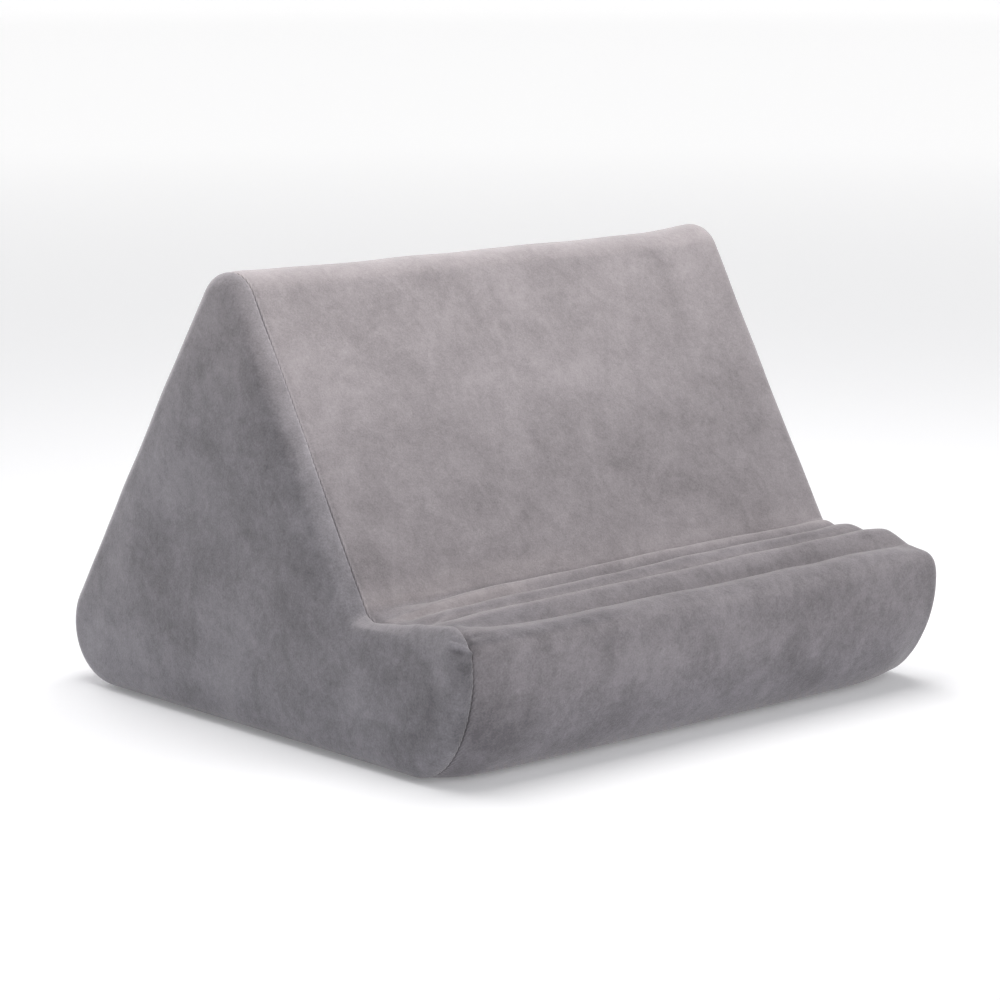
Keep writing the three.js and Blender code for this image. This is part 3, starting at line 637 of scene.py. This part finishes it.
# ------------------------------------------------------------------ velvet
def velvet(name, cool, warm, seed):
    """Short-pile velvet: cloudy mottling, brushed strokes, painted light and shade carried in from the mesh, a fine
    pile and the tug of the stitches at a seam.
    """
    mat = bpy.data.materials.new(name)
    mat.use_nodes = True
    nt = mat.node_tree
    nodes, link = nt.nodes, nt.links.new
    bsdf = nodes["Principled BSDF"]

    def node(kind, **inputs):
        n = nodes.new(kind)
        for key, value in inputs.items():
            if hasattr(n, key):
                setattr(n, key, value)
        return n

    def math_node(op, a, b=None, c=None, clamp=False):
        n = nodes.new("ShaderNodeMath")
        n.operation, n.use_clamp = op, clamp
        for k, v in enumerate((a, b, c)):
            if v is None:
                continue
            if isinstance(v, (int, float)):
                n.inputs[k].default_value = v
            else:
                link(v, n.inputs[k])
        return n.outputs[0]

    coord = nodes.new("ShaderNodeTexCoord").outputs["Object"]

    def noise_at(scale, detail, rough, distortion=0.0, stretch=None, offset=0.0):
        mapping = nodes.new("ShaderNodeMapping")
        mapping.inputs["Location"].default_value = (seed + offset, seed * 0.7, offset * 0.3)
        if stretch:
            mapping.inputs["Scale"].default_value = stretch
        link(coord, mapping.inputs["Vector"])
        n = nodes.new("ShaderNodeTexNoise")
        n.inputs["Scale"].default_value = scale
        n.inputs["Detail"].default_value = detail
        n.inputs["Roughness"].default_value = rough
        n.inputs["Distortion"].default_value = distortion
        link(mapping.outputs[0], n.inputs["Vector"])
        return n.outputs["Fac"]

    cloud = noise_at(27, 2.0, 0.5, 0.6)
    patch = noise_at(75, 3.0, 0.6, 0.9, offset=3.1)
    speck = noise_at(300, 3.0, 0.65, offset=5.7)
    pile = noise_at(1250, 2.0, 0.75, offset=7.9)

    def vertex(name):
        n = nodes.new("ShaderNodeAttribute")
        n.attribute_name = name
        return n.outputs["Fac"]

    def centred(v, k):
        return math_node("MULTIPLY_ADD", v, k, -0.5 * k)

    # painted light and shade over the whole surface, and the end panels' own slight darkening
    lay_and_painted_light = vertex("lay_and_painted_light")
    total = math_node("ADD", centred(cloud, 0.50), centred(patch, 0.42))
    total = math_node("ADD", total, centred(speck, 0.34))
    total = math_node("ADD", total, centred(pile, 0.52))
    # strokes in the pile, and painted highlights and shade at the nose corner
    total = math_node("ADD", total, math_node("MULTIPLY", vertex("nap_and_painted_light"), 0.125))
    # painted shade at the seams, painted light where a seam's groove is too dark
    total = math_node("ADD", total, math_node("MULTIPLY", vertex("seam_shade"), -0.28))
    total = math_node("ADD", total, lay_and_painted_light)
    share = math_node("ADD", total, 0.352, clamp=True)

    def mixed(a, b, factor, blend="MIX"):
        m = nodes.new("ShaderNodeMix")
        m.data_type, m.blend_type = "RGBA", blend
        for key, v in (("A", a), ("B", b), ("Factor", factor)):
            if isinstance(v, (int, float, tuple)):
                m.inputs[key].default_value = (*v, 1) if isinstance(v, tuple) else v
            else:
                link(v, m.inputs[key])
        return m.outputs["Result"]

    grey = mixed((0.12, 0.12, 0.12), (0.42, 0.42, 0.42), share)
    # painted colour of the light: warm where lit, cool low down
    tint = mixed(cool, warm, vertex("hue"))
    link(mixed(grey, tint, 1.0, "MULTIPLY"), bsdf.inputs["Base Color"])

    bsdf.inputs["Roughness"].default_value = 0.95
    bsdf.inputs["Specular IOR Level"].default_value = 0.15
    bsdf.inputs["Sheen Weight"].default_value = 0.55
    bsdf.inputs["Sheen Roughness"].default_value = 0.42
    bsdf.inputs["Sheen Tint"].default_value = (0.86, 0.83, 0.85, 1)

    # stitches: one tug every 2.9 mm, dying out within about 3 mm of the seam
    near = math_node("POWER", 2.718, math_node("MULTIPLY", vertex("seam_d"), -0.75))
    tug = math_node("SINE", math_node("MULTIPLY", vertex("seam_s"), 2 * math.pi / 2.9))
    stitch = math_node("MULTIPLY", tug, near)
    height = math_node("ADD", math_node("MULTIPLY", pile, 0.30), math_node("MULTIPLY", speck, 0.35))
    height = math_node("ADD", height, math_node("MULTIPLY", stitch, 0.30))
    bump = nodes.new("ShaderNodeBump")
    bump.inputs["Strength"].default_value = 0.55
    bump.inputs["Distance"].default_value = 0.0009
    link(height, bump.inputs["Height"])
    link(bump.outputs["Normal"], bsdf.inputs["Normal"])
    return mat


body = wrap()
left = panel(-1, "end_cover_left")
right = panel(1, "end_cover_right")
wrap_mat = velvet("wrap_velvet", (1.010, 0.962, 1.055), (1.056, 0.962, 0.990), 2.0)
end_mat = velvet("end_velvet", (0.984, 0.970, 1.070), (1.036, 0.966, 1.018), 9.0)
body.data.materials.append(wrap_mat)
left.data.materials.append(end_mat)
right.data.materials.append(end_mat)


def area_of(o, which):
    me = o.data
    return sum(f.area for f in me.polygons if which(f))


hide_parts("filled_body")
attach(body, "root")
for cover, node_name in ((left, "end_panel_left"), (right, "end_panel_right")):
    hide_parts(node_name)
    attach(cover, "root")
    cut = area_of(cover, lambda f: True) / 2

# ------------------------------------------------------------------ floor, light, camera
floor_mesh = bpy.data.meshes.new("floor")
RADII = [0.6, 1.5, 3.0, 5.0, 8.0, 9.0, 10.0, 11.0, 12.0, 13.0, 14.0, 15.0, 16.0, 17.0, 18.0, 19.2]
ROUND = 64
sweep = [(0.0, 0.0, 0.0)]
for r in RADII:
    z = 2.8 * float(smooth((r - 8.0) / 15.0)) / float(smooth(11.2 / 15.0))
    sweep += [(r * math.cos(k * 2 * math.pi / ROUND), r * math.sin(k * 2 * math.pi / ROUND), z) for k in range(ROUND)]
faces = [(0, 1 + k, 1 + (k + 1) % ROUND) for k in range(ROUND)]
for j in range(len(RADII) - 1):
    faces += [(1 + j * ROUND + k, 1 + (j + 1) * ROUND + k, 1 + (j + 1) * ROUND + (k + 1) % ROUND, 1 + j * ROUND + (k + 1) % ROUND) for k in range(ROUND)]
floor_mesh.from_pydata(sweep, [], faces)
floor_mesh.shade_smooth()
floor = bpy.data.objects.new("floor", floor_mesh)
floor.location.z = -0.0004
bpy.context.scene.collection.objects.link(floor)
floor_mat = bpy.data.materials.new("floor_pale")
floor_mat.use_nodes = True
fb = floor_mat.node_tree.nodes["Principled BSDF"]
far = floor_mat.node_tree.nodes.new("ShaderNodeMapRange")
reach = floor_mat.node_tree.nodes.new("ShaderNodeVectorMath")
reach.operation = "LENGTH"
floor_mat.node_tree.links.new(floor_mat.node_tree.nodes.new("ShaderNodeTexCoord").outputs["Object"], reach.inputs[0])
floor_mat.node_tree.links.new(reach.outputs["Value"], far.inputs["Value"])
far.inputs["From Min"].default_value, far.inputs["From Max"].default_value = 0.4, 3.0
far.inputs["To Min"].default_value, far.inputs["To Max"].default_value = 0.0, 1.0
tone = floor_mat.node_tree.nodes.new("ShaderNodeMix")
tone.data_type = "RGBA"
tone.inputs["A"].default_value = (0.86, 0.865, 0.88, 1)
tone.inputs["B"].default_value = (0.96, 0.96, 0.96, 1)
floor_mat.node_tree.links.new(far.outputs["Result"], tone.inputs["Factor"])
floor_mat.node_tree.links.new(tone.outputs["Result"], fb.inputs["Base Color"])
glow = floor_mat.node_tree.nodes.new("ShaderNodeMath")
glow.operation = "MULTIPLY_ADD"
glow.inputs[1].default_value, glow.inputs[2].default_value = 0.19, 0.155
floor_mat.node_tree.links.new(far.outputs["Result"], glow.inputs[0])
wall = floor_mat.node_tree.nodes.new("ShaderNodeMapRange")  # the rising part of the sweep turns away from the lights
wall.inputs["From Min"].default_value, wall.inputs["From Max"].default_value = 7.0, 14.0
wall.inputs["To Min"].default_value, wall.inputs["To Max"].default_value = 0.0, 0.3
floor_mat.node_tree.links.new(reach.outputs["Value"], wall.inputs["Value"])
both = floor_mat.node_tree.nodes.new("ShaderNodeMath")
both.operation = "ADD"
floor_mat.node_tree.links.new(glow.outputs[0], both.inputs[0])
floor_mat.node_tree.links.new(wall.outputs["Result"], both.inputs[1])
fb.inputs["Emission Color"].default_value = (1, 1, 1, 1)
floor_mat.node_tree.links.new(both.outputs[0], fb.inputs["Emission Strength"])
fb.inputs["Roughness"].default_value = 1.0
fb.inputs["Specular IOR Level"].default_value = 0.0
floor_mat.cycles.emission_sampling = "NONE"
floor_mesh.materials.append(floor_mat)

world = bpy.data.worlds.new("studio")
bpy.context.scene.world = world
world.use_nodes = True
bg = world.node_tree.nodes["Background"]
bg.inputs["Color"].default_value = (0.97, 0.98, 1.0, 1)
bg.inputs["Strength"].default_value = 0.23


def softbox(name, at_m, look_m, size, power, colour):
    data = bpy.data.lights.new(name, "AREA")
    data.shape, data.size, data.size_y = "RECTANGLE", size[0], size[1]
    data.energy, data.color = power, colour
    o = bpy.data.objects.new(name, data)
    o.matrix_world = Matrix.Translation(at_m) @ (Vector(look_m) - Vector(at_m)).to_track_quat("-Z", "Y").to_matrix().to_4x4()
    bpy.context.scene.collection.objects.link(o)


def far_light(name, towards, strength, colour):
    data = bpy.data.lights.new(name, "SUN")
    data.angle, data.energy, data.color = math.radians(50), math.pi * strength, colour
    o = bpy.data.objects.new(name, data)
    o.rotation_euler = Vector(towards).to_track_quat("Z", "Y").to_euler()
    bpy.context.scene.collection.objects.link(o)


softbox("overhead", (0, 0, 0.8), (0, 0, 0.08), (0.9, 0.5), 5.1, (1.0, 0.985, 0.975))
far_light("behind", (0.1, 0.94, 0.34), 0.70, (1.0, 0.985, 0.985))
far_light("front", (0, -0.87, 0.5), 0.22, (1.0, 0.99, 0.985))
far_light("front_right", (0.58, -0.58, 0.57), 0.12, (1.0, 0.99, 0.985))

cam_data = bpy.data.cameras.new("camera")
cam = bpy.data.objects.new("camera", cam_data)
cam_data.sensor_width = 36.0
cam_data.lens = 3266.0 * 36.0 / 1000.0
cam_data.clip_start, cam_data.clip_end = 0.05, 200.0
yaw, pitch = math.radians(42.045), math.radians(10.613)
fwd = Vector((math.sin(yaw) * math.cos(pitch), math.cos(yaw) * math.cos(pitch), -math.sin(pitch)))
rgt = Vector((math.cos(yaw), -math.sin(yaw), 0.0))
up = rgt.cross(fwd)
rot = Matrix((rgt, up, -fwd)).transposed()
cam.matrix_world = Matrix.Translation((-0.9392, -1.0374, 0.3429)) @ rot.to_4x4()
bpy.context.scene.collection.objects.link(cam)
bpy.context.scene.camera = cam
bpy.context.scene.view_settings.view_transform = "Standard"
bpy.context.scene.view_settings.look = "None"
